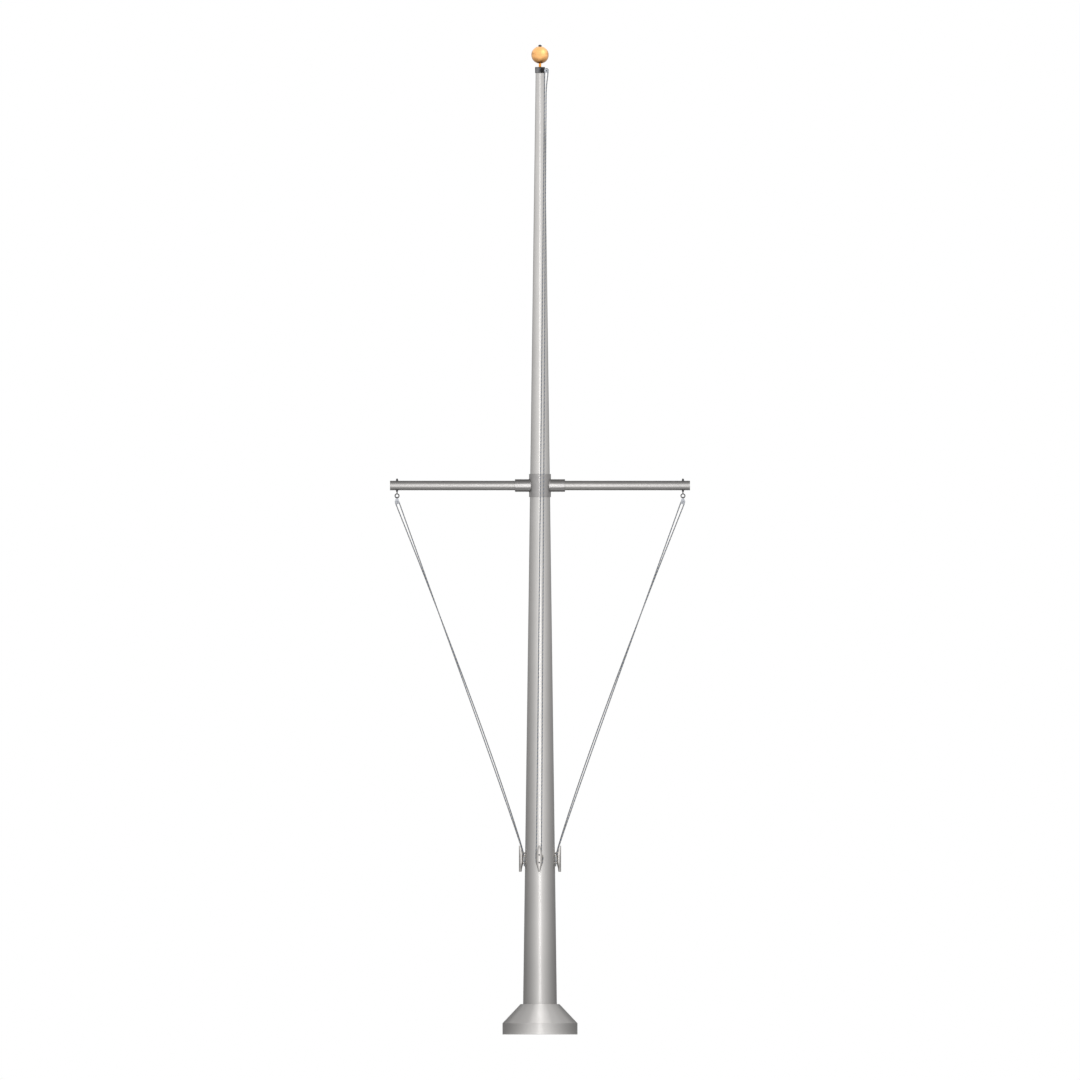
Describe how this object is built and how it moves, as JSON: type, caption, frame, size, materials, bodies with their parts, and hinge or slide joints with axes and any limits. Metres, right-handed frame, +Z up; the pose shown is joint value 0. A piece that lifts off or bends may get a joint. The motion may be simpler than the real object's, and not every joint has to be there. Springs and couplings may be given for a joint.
{
  "type": "nautical flagpole with yardarm",
  "caption": "Tapered aluminium flagpole with a yardarm, rope halyards on cleats, blocks at the yardarm ends, a truck sheave, a gold ball and a base cover.",
  "frame": {"origin": "centre of the base plate's flat underside, at ground level on the pole's axis", "axes": "+Z up along the pole, X along the yardarm, -Y towards the front with the middle cleat"},
  "size_m": [2.64, 0.6598, 8.7096],
  "materials": {
    "satin_aluminium": "satin brushed",
    "cast_aluminium": "fine cast, tumbled",
    "stainless_steel": "turned",
    "dark_steel": "dark galvanised",
    "zinc_steel": "zinc plated",
    "sheave_nylon": "turned nylon",
    "truck_dark_cast": "dark cast",
    "gold_anodised": "gold anodised",
    "halyard_rope": "twisted three-strand"
  },
  "bodies": {
    "mast": {"base_plate": "cast_aluminium", "base_cover": "satin_aluminium", "pole_shaft": "satin_aluminium", "yardarm_sleeve": "cast_aluminium", "yardarm_left": "satin_aluminium", "yardarm_cap_left": "satin_aluminium", "eye_bolt_left": "dark_steel", "eye_cap_nut_left": "dark_steel", "eye_lock_nut_left": "dark_steel", "block_eye_left": "zinc_steel", "block_shell_left": "zinc_steel", "block_pin_left": "zinc_steel", "halyard_left": "halyard_rope", "yardarm_right": "satin_aluminium", "yardarm_cap_right": "satin_aluminium", "eye_bolt_right": "dark_steel", "eye_cap_nut_right": "dark_steel", "eye_lock_nut_right": "dark_steel", "block_eye_right": "zinc_steel", "block_shell_right": "zinc_steel", "block_pin_right": "zinc_steel", "halyard_right": "halyard_rope", "truck_cap": "truck_dark_cast", "truck_fork": "truck_dark_cast", "truck_pin": "zinc_steel", "finial_spindle": "gold_anodised", "finial_ball": "gold_anodised", "finial_nut": "dark_steel", "cleat_left": "cast_aluminium", "cleat_screws_left": "stainless_steel", "cleat_front": "cast_aluminium", "cleat_screws_front": "stainless_steel", "cleat_right": "cast_aluminium", "cleat_screws_right": "stainless_steel", "halyard_main": "halyard_rope"},
    "sheave_left": {"block_sheave_left": "sheave_nylon"},
    "sheave_right": {"block_sheave_right": "sheave_nylon"},
    "sheave_truck": {"truck_sheave": "sheave_nylon"}
  },
  "joints": [
    {"name": "block_sheave_left_spin", "type": "hinge", "parent": "mast", "child": "sheave_left", "pos_m": [-1.258, 0, 4.686], "axis": [0, 1, 0], "continuous": true},
    {"name": "block_sheave_right_spin", "type": "hinge", "parent": "mast", "child": "sheave_right", "pos_m": [1.258, 0, 4.686], "axis": [0, 1, 0], "continuous": true},
    {"name": "truck_sheave_spin", "type": "hinge", "parent": "mast", "child": "sheave_truck", "pos_m": [0.058, -0.063, 8.484], "axis": [0, 1, 0], "continuous": true}
  ]
}
